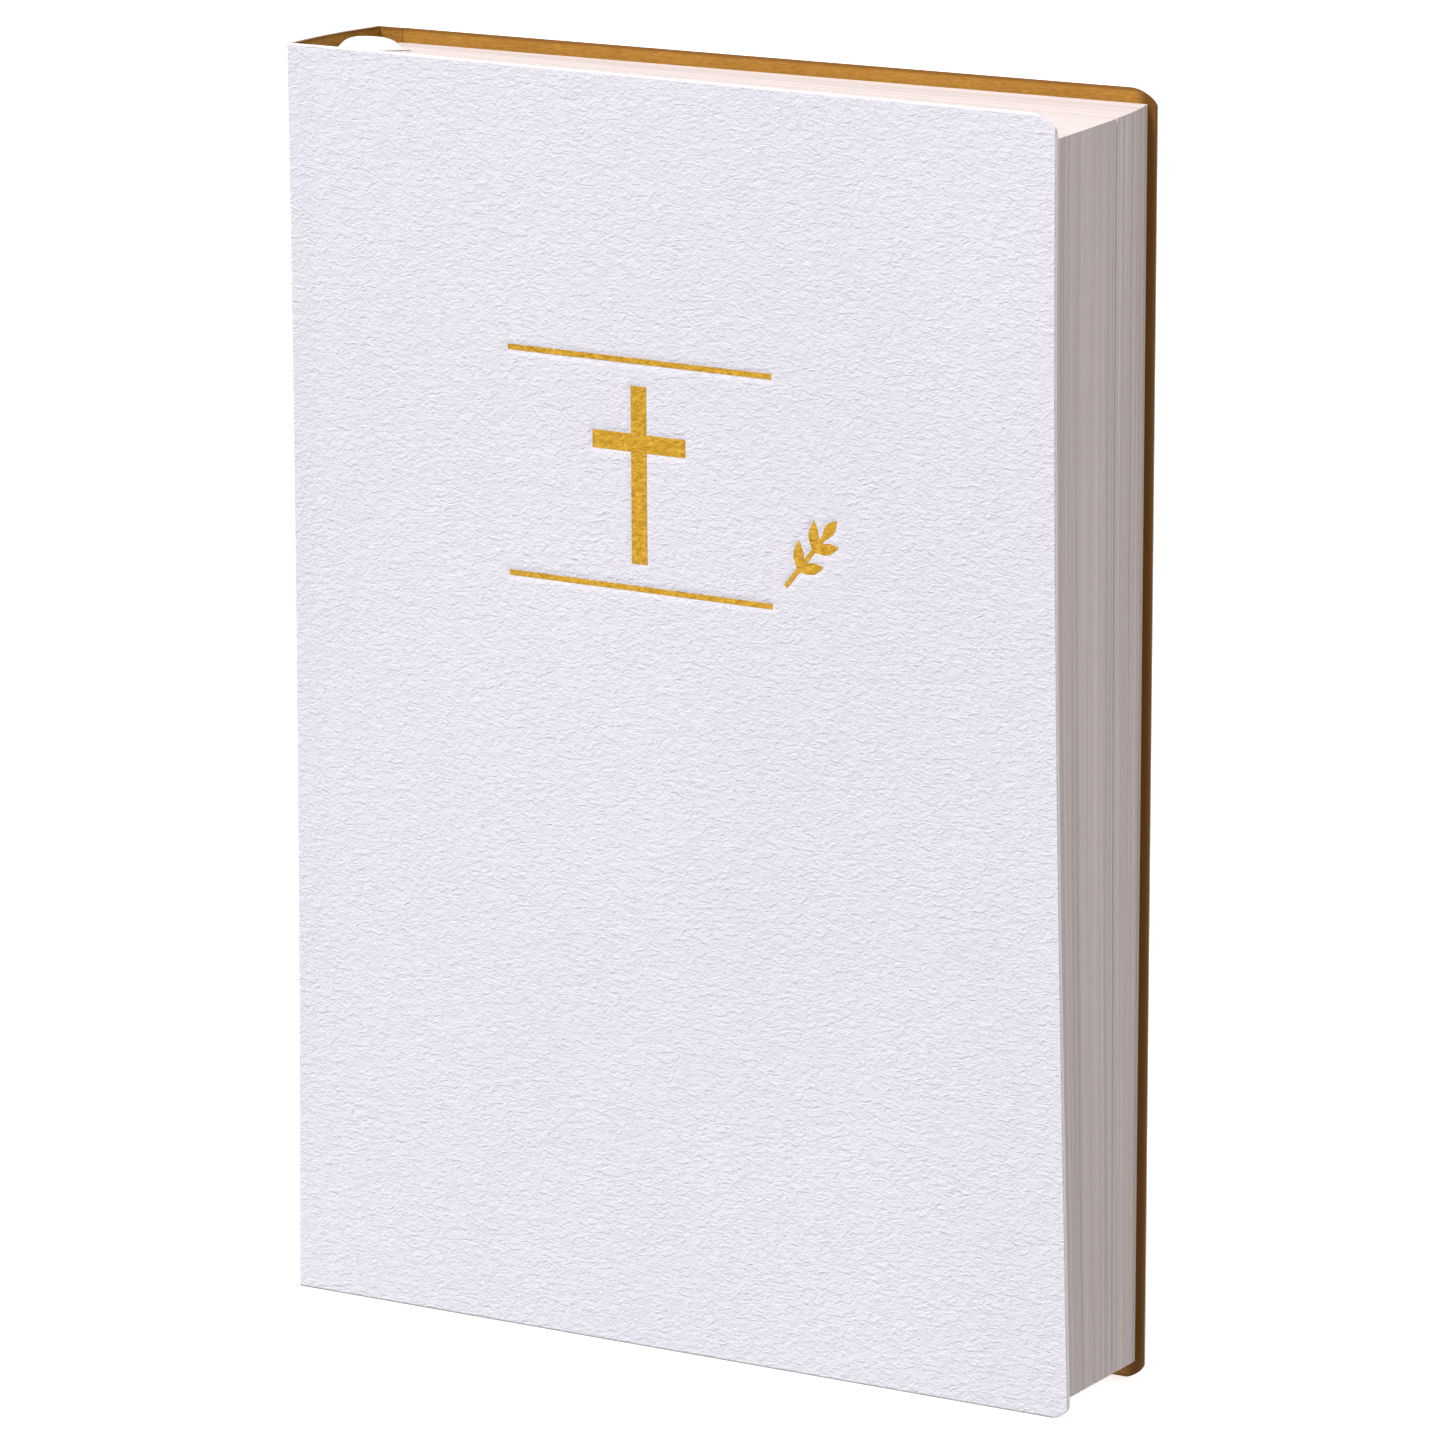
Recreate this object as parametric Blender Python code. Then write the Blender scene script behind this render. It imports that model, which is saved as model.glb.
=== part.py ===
"""A soft-cover bible standing on its foot, its front cover sprung slightly open at the head.

Frame: +X from the spine to the fore-edge, +Y from the front cover to the back cover, +Z up.
The origin is at the middle of the book's box, on the surface that it stands on.

The shapes are first laid out in book coordinates, where the book is shut square: x runs from
the spine's outer face, y from the middle of the thickness, z from the foot. place() then adds
the slight spring of the front half and moves the book to its frame.
"""

import math

import bmesh
import bpy
from mathutils import Vector

MM = 0.001

# Covers
COVER_HEIGHT = 210.0 * MM
COVER_REACH = 148.0 * MM
BOOK_DEPTH = 26.9 * MM
SKIN_THICKNESS = 0.42 * MM
CARD_THICKNESS = 0.58 * MM
GLUE_GAP = 0.05 * MM
CORNER_RADIUS = 3.6 * MM

# Spine and hinges
SPINE_BULGE = 0.8 * MM
SPINE_CARD_HALF_WIDTH = 11.3 * MM
SPINE_CORNER_RADIUS = 1.0 * MM
HINGE_STRIP_START = 1.4 * MM
HINGE_X = 5.6 * MM
HINGE_HALF_GAP = 0.15 * MM
HINGE_OUTSIDE = 0.3 * MM

# Page block
BLOCK_HALF_DEPTH = 11.85 * MM
BLOCK_REACH = 146.5 * MM
BLOCK_FOOT = 2.9 * MM
BLOCK_HEAD = 207.6 * MM
BLOCK_BACK_X = 3.2 * MM
BLOCK_ROUNDING = 2.4 * MM
PARTING_Y = 4.45 * MM
PARTING_GAP = 0.6 * MM
FRONT_GROUPS = 8
REAR_GROUPS = 4
GROUP_GAP = 0.12 * MM
FOLD_THICKNESS_SHARE = 0.60
FOLD_LENGTH = 12.0 * MM

# Endpapers and spine lining
PAPER_THICKNESS = 0.12 * MM
PASTEDOWN_GAP = 0.08 * MM
FLYLEAF_GAP = 0.12 * MM
PASTEDOWN_START = 7.0 * MM
FLYLEAF_START = 12.2 * MM
LINING_THICKNESS = 0.25 * MM
LINING_GAP = 0.2 * MM
LINING_FOOT = 6.0 * MM
LINING_HEAD = 205.0 * MM

# Ribbon marker
RIBBON_WIDTH = 7.0 * MM
RIBBON_THICKNESS = 0.22 * MM

# Spring of the front half: how far its fore-edge stands off, at the foot and at the head
SPRING_AT_FOOT = 0.9 * MM
SPRING_AT_HEAD = 8.1 * MM
FRONT_SLEW = 1.5 * MM
HEAD_DROP = 1.8 * MM

# Foil stamping on the front cover
FOIL_OFFSET = 0.06 * MM
FOIL_THICKNESS = 0.05 * MM
FOIL_LEFT = 44.0 * MM
FOIL_RIGHT = 95.0 * MM
FOIL_LOW = 126.5 * MM
FOIL_HIGH = 164.5 * MM
RULE_HEIGHT = 0.9 * MM
CROSS_BAR = 3.0 * MM
CROSS_HEIGHT = 29.0 * MM
CROSS_WIDTH = 18.0 * MM
CROSS_ARM_SHARE = 0.68
SPRIG_FOOT = (97.5 * MM, 130.5 * MM)
SPRIG_LENGTH = 15.0 * MM
SPRIG_LEAN = math.radians(40.0)
SPRIG_STEM = 0.8 * MM
SPRIG_LEAF_LENGTH = 5.0 * MM
SPRIG_LEAF_WIDTH = 1.9 * MM
SPRIG_LEAF_PLACES = (0.25, 0.55)

# Mesh resolution
ROWS = 8
STATIONS = (45.0 * MM, 80.0 * MM, 115.0 * MM)
ARC_STEPS = 4

HALF_DEPTH = BOOK_DEPTH / 2
COVER_THICKNESS = SKIN_THICKNESS + GLUE_GAP + CARD_THICKNESS
COVER_INNER_Y = HALF_DEPTH - COVER_THICKNESS
HINGE_Y = HALF_DEPTH + HINGE_OUTSIDE
MIDDLE_X = (COVER_REACH + FRONT_SLEW - SPINE_BULGE) / 2
MIDDLE_Y = -SPRING_AT_HEAD / 2

MATERIALS = {
    "leatherette": ((0.90, 0.89, 0.92), 0.55, 0.0),
    "card": ((0.46, 0.27, 0.08), 0.75, 0.0),
    "endpaper": ((0.86, 0.80, 0.68), 0.85, 0.0),
    "pages": ((0.78, 0.72, 0.69), 0.90, 0.0),
    "lining": ((0.85, 0.83, 0.78), 0.90, 0.0),
    "ribbon": ((0.95, 0.95, 0.94), 0.40, 0.0),
    "foil": ((0.83, 0.60, 0.18), 0.30, 1.0),
}


# ---------------------------------------------------------------- the book's shape

def hinge_share(x):
    """0 at the hinge line, 1 at the covers' fore-edge."""
    return max(0.0, (x - HINGE_X) / (COVER_REACH - HINGE_X))


def front_share(y):
    """1 on the front of the page block and in front of it, 0 on its back and behind."""
    share = (BLOCK_HALF_DEPTH - y) / (2 * BLOCK_HALF_DEPTH)
    return min(1.0, max(0.0, share))


def place(x, y, z):
    """Book coordinates of the shut book to the book's frame, with the front half sprung."""
    rise = math.sin(math.pi / 2 * z / COVER_HEIGHT)
    spring = SPRING_AT_FOOT + (SPRING_AT_HEAD - SPRING_AT_FOOT) * rise
    share = front_share(y) * hinge_share(x)
    return Vector((x + FRONT_SLEW * share - MIDDLE_X, y - spring * share - MIDDLE_Y, z))


def place_page(x, y, z):
    """As place(), with the heads of the front pages a little lower at the fore-edge."""
    drop = HEAD_DROP * math.sqrt(front_share(y)) * hinge_share(x) * z / COVER_HEIGHT
    point = place(x, y, z)
    point.z -= drop
    return point


def block_back_x(y):
    """The rounded back of the page block."""
    return BLOCK_BACK_X + BLOCK_ROUNDING * (y / BLOCK_HALF_DEPTH) ** 2


# ---------------------------------------------------------------- scene helpers

def clear_scene():
    for thing in list(bpy.data.objects):
        bpy.data.objects.remove(thing, do_unlink=True)


def make_material(name):
    color, roughness, metallic = MATERIALS[name]
    material = bpy.data.materials.new(name)
    material.use_nodes = True
    shader = material.node_tree.nodes["Principled BSDF"]
    shader.inputs["Base Color"].default_value = (*color, 1.0)
    shader.inputs["Roughness"].default_value = roughness
    shader.inputs["Metallic"].default_value = metallic
    return material


def make_axis(name, location, parent=None):
    """An empty on a joint's axis, which the moving pieces are parented to."""
    axis = bpy.data.objects.new(name, None)
    bpy.context.scene.collection.objects.link(axis)
    axis.location = location
    if parent is not None:
        axis.parent = parent
        axis.location = Vector(location) - world_place(parent)
    axis.empty_display_size = 10 * MM
    return axis


def world_place(axis):
    place_of_axis = Vector(axis.location)
    while axis.parent is not None:
        axis = axis.parent
        place_of_axis += axis.location
    return place_of_axis


def make_object(name, material, points, faces, axis=None):
    """A closed body from world points and faces, parented to its axis."""
    offset = Vector((0.0, 0.0, 0.0)) if axis is None else world_place(axis)
    mesh = bpy.data.meshes.new(name)
    mesh.from_pydata([Vector(point) - offset for point in points], [], faces)
    mesh.update()
    shell = bmesh.new()
    shell.from_mesh(mesh)
    bmesh.ops.recalc_face_normals(shell, faces=shell.faces)
    if shell.calc_volume(signed=True) < 0:
        bmesh.ops.reverse_faces(shell, faces=shell.faces)
    shell.to_mesh(mesh)
    shell.free()
    mesh.materials.append(MATERIAL_OF[material])
    thing = bpy.data.objects.new(name, mesh)
    bpy.context.scene.collection.objects.link(thing)
    thing.parent = axis
    return thing


# ---------------------------------------------------------------- shape builders

def grid_slab(stations, low, high, front, rear, mapping, rows=ROWS):
    """Points and triangles of a slab in book coordinates.

    stations are its x values. low, high, front and rear give its z and y limits at an x.
    """
    points = []
    for side in (front, rear):
        for x in stations:
            for row in range(rows + 1):
                z = low(x) + (high(x) - low(x)) * row / rows
                points.append(mapping(x, side(x), z))
    columns = len(stations)
    side_size = columns * (rows + 1)

    def corner(side, column, row):
        return side * side_size + column * (rows + 1) + row

    faces = []
    for column in range(columns - 1):
        for row in range(rows):
            for side in (0, 1):
                a = corner(side, column, row)
                b = corner(side, column + 1, row)
                c = corner(side, column + 1, row + 1)
                d = corner(side, column, row + 1)
                faces += [(a, b, c), (a, c, d)] if side == 0 else [(a, c, b), (a, d, c)]
    rim = [(column, 0) for column in range(columns - 1)]
    rim += [(columns - 1, row) for row in range(rows)]
    rim += [(column, rows) for column in range(columns - 1, 0, -1)]
    rim += [(0, row) for row in range(rows, 0, -1)]
    for here, after in zip(rim, rim[1:] + rim[:1]):
        a = corner(0, *here)
        b = corner(1, *here)
        c = corner(1, *after)
        d = corner(0, *after)
        faces += [(a, b, c), (a, c, d)]
    return points, faces


def constant(value):
    return lambda x: value


def cover_low(x):
    """The foot edge of a cover, with its fore-edge corner rounded."""
    past = x - (COVER_REACH - CORNER_RADIUS)
    if past <= 0:
        return 0.0
    return CORNER_RADIUS - math.sqrt(max(0.0, CORNER_RADIUS ** 2 - past ** 2))


def cover_high(x):
    return COVER_HEIGHT - cover_low(x)


def cover_stations():
    arc = [
        COVER_REACH - CORNER_RADIUS + CORNER_RADIUS * math.sin(math.pi / 2 * step / ARC_STEPS)
        for step in range(ARC_STEPS + 1)
    ]
    return [HINGE_X + HINGE_HALF_GAP, *STATIONS, *arc]


def strip_along_z(outer, inner, low, high):
    """Points and faces of an open shell between two lines of (x, y) in book coordinates."""
    points = []
    for z in (low, high):
        for x, y in outer + inner:
            points.append(place(x, y, z))
    count = len(outer)
    ring = list(range(count)) + list(range(2 * count - 1, count - 1, -1))
    faces = []
    for here, after in zip(ring, ring[1:] + ring[:1]):
        faces.append((here, after, after + 2 * count, here + 2 * count))
    for base in (0, 2 * count):
        for step in range(count - 1):
            a = base + step
            faces.append((a, a + 1, a + 1 + count, a + count))
    return points, faces


def outline_sheet(outline, depth_near, depth_far):
    """Points and faces of a thin sheet of any outline of (x, z), lying on the front cover."""
    points = [place(x, -HALF_DEPTH - depth_near, z) for x, z in outline]
    points += [place(x, -HALF_DEPTH - depth_far, z) for x, z in outline]
    count = len(outline)
    flat = bmesh.new()
    corners = [flat.verts.new((x, 0.0, z)) for x, z in outline]
    flat.verts.index_update()
    flat.faces.new(corners)
    flat.normal_update()
    bmesh.ops.triangulate(flat, faces=flat.faces, ngon_method="EAR_CLIP")
    triangles = [[corner.index for corner in face.verts] for face in flat.faces]
    flat.free()
    faces = [tuple(triangle) for triangle in triangles]
    faces += [tuple(index + count for index in reversed(triangle)) for triangle in triangles]
    for index in range(count):
        after = (index + 1) % count
        faces.append((index, after, after + count, index + count))
    return points, faces


# ---------------------------------------------------------------- spine and hinges

def spine_line(inset, half_width, steps):
    """A line across the spine, inset from its outer face, with the spine's slight bulge."""
    line = []
    for step in range(steps + 1):
        y = half_width * (2 * step / steps - 1)
        bulge = SPINE_BULGE * (1 - (y / SPINE_CARD_HALF_WIDTH) ** 2)
        line.append((inset - max(0.0, bulge), y))
    return line


def wrap_line(inset):
    """A line from hinge to hinge round the spine, inset from the outer face of the skin."""
    end_x = HINGE_X - HINGE_HALF_GAP
    face_y = HALF_DEPTH - inset
    radius = SPINE_CORNER_RADIUS - inset
    corner = []
    for step in range(ARC_STEPS + 1):
        angle = math.pi / 2 * step / ARC_STEPS
        x = inset + radius * (1 - math.sin(angle))
        y = face_y - radius * (1 - math.cos(angle))
        corner.append((x, -y))
    across = spine_line(inset, SPINE_CARD_HALF_WIDTH, 8)
    front = [(end_x, -face_y), *corner]
    back = [(x, -y) for x, y in reversed(front)]
    return front + across + back


def add_spine():
    inner = SKIN_THICKNESS + GLUE_GAP
    skin = strip_along_z(wrap_line(0.0), wrap_line(SKIN_THICKNESS), 0.0, COVER_HEIGHT)
    make_object("spine_leatherette", "leatherette", *skin)
    half = SPINE_CARD_HALF_WIDTH - inner
    card = strip_along_z(
        spine_line(inner, half, 8), spine_line(inner + CARD_THICKNESS, half, 8),
        0.0, COVER_HEIGHT)
    make_object("spine_card", "card", *card)
    for side, name in ((-1, "front_hinge_strip"), (1, "back_hinge_strip")):
        ends = (HINGE_STRIP_START, HINGE_X - HINGE_HALF_GAP)
        outer = [(x, side * (COVER_INNER_Y + CARD_THICKNESS)) for x in ends]
        near = [(x, side * COVER_INNER_Y) for x in ends]
        make_object(name, "card", *strip_along_z(outer, near, 0.0, COVER_HEIGHT))


def add_spine_lining():
    half = BLOCK_HALF_DEPTH - LINING_THICKNESS
    steps = 10
    near = []
    far = []
    for step in range(steps + 1):
        y = half * (2 * step / steps - 1)
        x = block_back_x(y) - LINING_GAP
        near.append((x, y))
        far.append((x - LINING_THICKNESS, y))
    make_object("spine_lining", "lining", *strip_along_z(near, far, LINING_FOOT, LINING_HEAD))


# ---------------------------------------------------------------- covers and endpapers

def add_cover(side, label, axis):
    """The leatherette skin, card and pastedown of one cover. side is -1 in front, 1 behind."""
    skin_inner = HALF_DEPTH - SKIN_THICKNESS
    layers = (
        (label + "_leatherette", "leatherette", HALF_DEPTH, skin_inner),
        (label + "_card", "card", skin_inner - GLUE_GAP, COVER_INNER_Y),
    )
    for name, material, outer, inner in layers:
        slab = grid_slab(
            cover_stations(), cover_low, cover_high,
            constant(side * outer), constant(side * inner), place)
        make_object(name, material, *slab, axis)
    outer = COVER_INNER_Y - PASTEDOWN_GAP
    add_endpaper(label.replace("cover", "pastedown"), side, outer, PASTEDOWN_START, place, axis)


def add_endpaper(name, side, outer, start, mapping, axis):
    slab = grid_slab(
        [start, *STATIONS, BLOCK_REACH], constant(BLOCK_FOOT), constant(BLOCK_HEAD),
        constant(side * outer), constant(side * (outer - PAPER_THICKNESS)), mapping)
    make_object(name, "endpaper", *slab, axis)


def add_flyleaf(side, name, axis):
    outer = COVER_INNER_Y - PASTEDOWN_GAP - PAPER_THICKNESS - FLYLEAF_GAP
    add_endpaper(name, side, outer, FLYLEAF_START, place_page, axis)


# ---------------------------------------------------------------- pages

def page_groups():
    """(name, side, front y, rear y) of each group of page sections, front to back."""
    groups = []
    front_room = PARTING_Y - PARTING_GAP / 2 + BLOCK_HALF_DEPTH
    rear_start = PARTING_Y + PARTING_GAP / 2
    rear_room = BLOCK_HALF_DEPTH - rear_start
    for side, start, room, count in (
            (-1, -BLOCK_HALF_DEPTH, front_room, FRONT_GROUPS),
            (1, rear_start, rear_room, REAR_GROUPS)):
        pitch = (room + GROUP_GAP) / count
        for index in range(count):
            front = start + pitch * index
            name = "pages_{:02d}".format(len(groups) + 1)
            groups.append((name, side, front, front + pitch - GROUP_GAP))
    return groups


def add_page_group(name, side, front_y, rear_y):
    """One group of sections. It turns about its cover-side face, level with the cover's hinge."""
    base_x = max(block_back_x(front_y), block_back_x(rear_y))
    fold_loss = (1 - FOLD_THICKNESS_SHARE) * (rear_y - front_y)

    def inner_y(x):
        remaining = max(0.0, 1 - (x - base_x) / FOLD_LENGTH)
        if side < 0:
            return rear_y - fold_loss * remaining
        return front_y + fold_loss * remaining

    stations = [base_x, base_x + FOLD_LENGTH, *STATIONS, BLOCK_REACH]
    front = constant(front_y) if side < 0 else inner_y
    rear = inner_y if side < 0 else constant(rear_y)
    slab = grid_slab(
        stations, constant(BLOCK_FOOT), constant(BLOCK_HEAD), front, rear, place_page)
    pivot_y = front_y if side < 0 else rear_y
    axis = make_axis(name + "_axis", place(HINGE_X, pivot_y, 0.0))
    make_object(name, "pages", *slab, axis)


# ---------------------------------------------------------------- ribbon marker

def ribbon_route():
    """(x, y, z, turn) along the ribbon in millimetres and degrees, from the spine to its tail.

    turn is how far its width has swung from across the spine to along the page.
    """
    return [
        (1.70, 0.30, 170.00, 0.0),
        (1.70, 0.30, 190.00, 0.0),
        (1.70, 0.30, 204.50, 0.0),
        (1.70, 0.30, 206.30, 0.0),
        (1.90, 0.40, 208.80, 0.0),
        (2.45, 0.70, 209.30, 1.0),
        (3.30, 1.20, 209.50, 12.0),
        (4.40, 1.75, 209.60, 31.0),
        (5.60, 2.40, 209.60, 54.0),
        (6.80, 3.05, 209.60, 74.0),
        (7.90, 3.60, 209.50, 88.0),
        (8.70, 4.05, 209.30, 90.0),
        (9.25, 4.35, 208.80, 90.0),
        (9.40, 4.45, 207.75, 90.0),
        (9.45, 4.45, 206.30, 90.0),
        (9.75, 4.45, 190.00, 90.0),
        (10.30, 4.45, 120.00, 90.0),
        (10.80, 4.45, 60.00, 90.0),
        (11.00, 4.45, 22.00, 90.0),
    ]


def add_ribbon():
    route = ribbon_route()
    centres = [place(x * MM, y * MM, z * MM) for x, y, z, turn in route]
    points = []
    for index, (x, y, z, turn) in enumerate(route):
        before = centres[max(0, index - 1)]
        after = centres[min(len(centres) - 1, index + 1)]
        along = (after - before).normalized()
        angle = math.radians(turn)
        across = Vector((-math.sin(angle), math.cos(angle), 0.0))
        normal = along.cross(across).normalized()
        for wide, thick in ((-1, -1), (1, -1), (1, 1), (-1, 1)):
            offset = across * (wide * RIBBON_WIDTH / 2) + normal * (thick * RIBBON_THICKNESS / 2)
            points.append(centres[index] + offset)
    faces = [(0, 1, 2, 3)]
    for index in range(len(route) - 1):
        for corner in range(4):
            a = index * 4 + corner
            b = index * 4 + (corner + 1) % 4
            faces += [(a, b, b + 4), (a, b + 4, a + 4)]
    last = (len(route) - 1) * 4
    faces.append((last + 3, last + 2, last + 1, last))
    make_object("ribbon_marker", "ribbon", points, faces)


# ---------------------------------------------------------------- foil stamping

def rule_outline(low):
    high = low + RULE_HEIGHT
    xs = [FOIL_LEFT + (FOIL_RIGHT - FOIL_LEFT) * step / 4 for step in range(5)]
    return [(x, low) for x in xs] + [(x, high) for x in reversed(xs)]


def cross_outline():
    middle = (FOIL_LEFT + FOIL_RIGHT) / 2
    low = (FOIL_LOW + FOIL_HIGH - CROSS_HEIGHT) / 2
    arm = low + CROSS_HEIGHT * CROSS_ARM_SHARE
    bar = CROSS_BAR / 2
    right = [
        (bar, low), (bar, (low + arm) / 2), (bar, arm - bar), (CROSS_WIDTH / 2, arm - bar),
        (CROSS_WIDTH / 2, arm + bar), (bar, arm + bar), (bar, low + CROSS_HEIGHT),
    ]
    left = [(-x, z) for x, z in reversed(right)]
    return [(middle + x, z) for x, z in right + left]


def leaf_outline(root, side):
    """Points (along, across) of a leaf that grows from the stem at root, up and outwards."""
    steps = 6
    spread = math.radians(38.0)
    edges = {-1: [], 1: []}
    for step in range(1, steps):
        along = step / steps * SPRIG_LEAF_LENGTH
        half = SPRIG_LEAF_WIDTH / 2 * math.sin(math.pi * step / steps)
        for sign, edge in edges.items():
            edge.append((
                root + along * math.cos(spread) + sign * half * math.sin(spread),
                along * math.sin(spread) - sign * half * math.cos(spread)))
    tip = (root + SPRIG_LEAF_LENGTH * math.cos(spread), SPRIG_LEAF_LENGTH * math.sin(spread))
    line = [*edges[-1], tip, *reversed(edges[1])]
    stem = SPRIG_STEM / 2
    return [(along, side * across) for along, across in line if across > stem]


def sprig_outline():
    """A stem with a pair of leaves at each of its places and one at its tip."""
    stem = SPRIG_STEM / 2
    right = [(0.0, stem)]
    for share in SPRIG_LEAF_PLACES:
        root = share * SPRIG_LENGTH
        right += [(root, stem), *leaf_outline(root, 1)]
    tip_root = 0.72 * SPRIG_LENGTH
    right += [
        (tip_root, stem), (tip_root + 0.1 * SPRIG_LENGTH, SPRIG_LEAF_WIDTH / 2),
        (tip_root + 0.2 * SPRIG_LENGTH, SPRIG_LEAF_WIDTH / 2.4),
    ]
    left = [(along, -across) for along, across in reversed(right)]
    outline = right + [(SPRIG_LENGTH * 1.02, 0.0)] + left
    turned = []
    for along, across in outline:
        x = along * math.sin(SPRIG_LEAN) + across * math.cos(SPRIG_LEAN)
        z = along * math.cos(SPRIG_LEAN) - across * math.sin(SPRIG_LEAN)
        turned.append((SPRIG_FOOT[0] + x, SPRIG_FOOT[1] + z))
    return turned


def add_foil(axis):
    outlines = {
        "foil_rule_upper": rule_outline(FOIL_HIGH - RULE_HEIGHT),
        "foil_rule_lower": rule_outline(FOIL_LOW),
        "foil_cross": cross_outline(),
        "foil_sprig": sprig_outline(),
    }
    for name, outline in outlines.items():
        sheet = outline_sheet(outline, FOIL_OFFSET, FOIL_OFFSET + FOIL_THICKNESS)
        make_object(name, "foil", *sheet, axis)


# ---------------------------------------------------------------- the whole book

def build():
    add_spine()
    add_spine_lining()
    add_ribbon()
    for side, label in ((-1, "front"), (1, "back")):
        hinge = place(HINGE_X, side * HINGE_Y, 0.0)
        leaf_axis = make_axis(label + "_flyleaf_axis", hinge)
        add_flyleaf(side, label + "_flyleaf", leaf_axis)
        cover_axis = make_axis(label + "_cover_axis", hinge, leaf_axis)
        add_cover(side, label + "_cover", cover_axis)
        if side < 0:
            add_foil(cover_axis)
    for group in page_groups():
        add_page_group(*group)


clear_scene()
MATERIAL_OF = {name: make_material(name) for name in MATERIALS}
build()
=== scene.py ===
"""Looks of the soft-cover bible: leatherette, card, leaves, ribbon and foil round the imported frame.

Every piece is laid out in book coordinates, where the book is shut square, as in the part: x runs
from the spine's outer face, y from the middle of the thickness (the front is minus), z from the
foot. place() adds the spring of the front half and moves the book to its frame. Each mesh keeps
its book coordinates in the point attribute "book", which the materials read, so that grain and
leaf lines stay on their piece when a cover opens.
"""
import math
import random

import bmesh
import bpy
import numpy as np
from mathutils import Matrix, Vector, noise


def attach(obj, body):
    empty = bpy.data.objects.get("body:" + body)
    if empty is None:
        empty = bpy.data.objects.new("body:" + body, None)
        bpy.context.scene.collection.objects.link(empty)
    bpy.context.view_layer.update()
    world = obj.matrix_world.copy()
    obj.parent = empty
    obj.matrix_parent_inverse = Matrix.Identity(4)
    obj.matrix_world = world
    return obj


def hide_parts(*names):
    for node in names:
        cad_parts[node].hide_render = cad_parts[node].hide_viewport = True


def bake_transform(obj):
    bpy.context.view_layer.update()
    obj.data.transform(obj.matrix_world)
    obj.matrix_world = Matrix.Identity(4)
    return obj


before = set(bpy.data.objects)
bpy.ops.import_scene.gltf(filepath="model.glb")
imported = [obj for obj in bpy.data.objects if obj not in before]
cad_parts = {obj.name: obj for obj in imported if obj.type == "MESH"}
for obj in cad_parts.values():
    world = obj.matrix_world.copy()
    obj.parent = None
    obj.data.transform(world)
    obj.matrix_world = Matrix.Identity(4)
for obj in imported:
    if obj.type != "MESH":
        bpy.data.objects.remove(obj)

MM = 0.001

# The book, as in the part
HEIGHT = 210.0 * MM
REACH = 148.0 * MM
HALF_DEPTH = 13.45 * MM
SKIN = 0.42 * MM
GLUE = 0.05 * MM
CARD = 0.58 * MM
HINGE_X = 5.6 * MM
HINGE_GAP = 0.05 * MM
SPINE_BULGE = 0.8 * MM
SPINE_HALF_WIDTH = 11.3 * MM
SPINE_CORNER = 0.6 * MM
BLOCK_HALF = 11.85 * MM
BLOCK_REACH = 146.5 * MM
BLOCK_FOOT = 2.9 * MM
BLOCK_HEAD = 207.6 * MM
BLOCK_BACK = 3.2 * MM
BLOCK_ROUNDING = 2.4 * MM
PARTING_Y = 4.45 * MM
PARTING_GAP = 0.26 * MM
SPRING_AT_FOOT = 0.9 * MM
SPRING_AT_HEAD = 8.1 * MM
FRONT_SLEW = 1.5 * MM
HEAD_DROP = 1.8 * MM
CARD_OUTER_Y = HALF_DEPTH - SKIN - GLUE
CARD_INNER_Y = CARD_OUTER_Y - CARD
MIDDLE_X = (REACH + FRONT_SLEW - SPINE_BULGE) / 2
MIDDLE_Y = -SPRING_AT_HEAD / 2

# Finish
EDGE_ROUND = 0.15 * MM
HEAD_CORNER = (4.5 * MM, 2.8 * MM)
FOOT_CORNER = (3.3 * MM, 2.4 * MM)
CORNER_POWER = 1.55
SPINE_BOW = 0.65 * MM
CREASE_HALF = 0.6 * MM
DEBOSS = 0.22 * MM
FOIL_DEPTH = 0.11 * MM
PAPER = 0.12 * MM
LEAF_THICKNESS = 0.05 * MM
FRONT_GROUPS = 8
REAR_GROUPS = 4
EDGE_STEPS = 15
LEAVES_BETWEEN_GROUPS = 2
LEAVES_BY_FLYLEAF = 4
PASTEDOWN_START = 7.0 * MM
GUTTER_BEND = 14.0 * MM
FRONT_BOARD_INSET = 0.5 * MM
BACK_BOARD_INSET = 0.02 * MM
SHARP_ANGLE = math.radians(50.0)

# Camera and light
CAMERA_PLACE = (0.73223, -1.16754, 0.39421)
CAMERA_AZIMUTH = 31.96
CAMERA_ELEVATION = 11.918
CAMERA_LENS = 216.55
KEY_DIRECTION = (-0.30, -0.54, 0.79)
KEY_STRENGTH = 2.64
FILL_DIRECTION = (-0.64, 0.72, 0.26)
FILL_STRENGTH = 1.15
LIGHT_SOFTNESS = 28.0
SKY_STRENGTH = 0.50


# ---------------------------------------------------------------- the book's shape

def place(book, page=False):
    """Book coordinates (..., 3) to the frame. Pages drop a little at the head of the fore-edge."""
    x, y, z = book[..., 0], book[..., 1], book[..., 2]
    rise = np.sin(np.pi / 2 * z / HEIGHT)
    spring = SPRING_AT_FOOT + (SPRING_AT_HEAD - SPRING_AT_FOOT) * rise
    front = np.clip((BLOCK_HALF - y) / (2 * BLOCK_HALF), 0, 1)
    out = np.clip((x - HINGE_X) / (REACH - HINGE_X), 0, None)
    share = front * out
    part = np.clip(z / HEIGHT, 0, 1)
    bow = SPINE_BOW * 4 * part * (1 - part) * np.clip(1 - x / (HINGE_X - CREASE_HALF), 0, 1)
    if page:
        z = z - HEAD_DROP * np.sqrt(front) * out * z / HEIGHT
    return np.stack([x + bow + FRONT_SLEW * share - MIDDLE_X, y - spring * share - MIDDLE_Y, z], -1)


def block_back(y):
    """x of the page block's rounded back."""
    return BLOCK_BACK + BLOCK_ROUNDING * (y / BLOCK_HALF) ** 2


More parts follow.
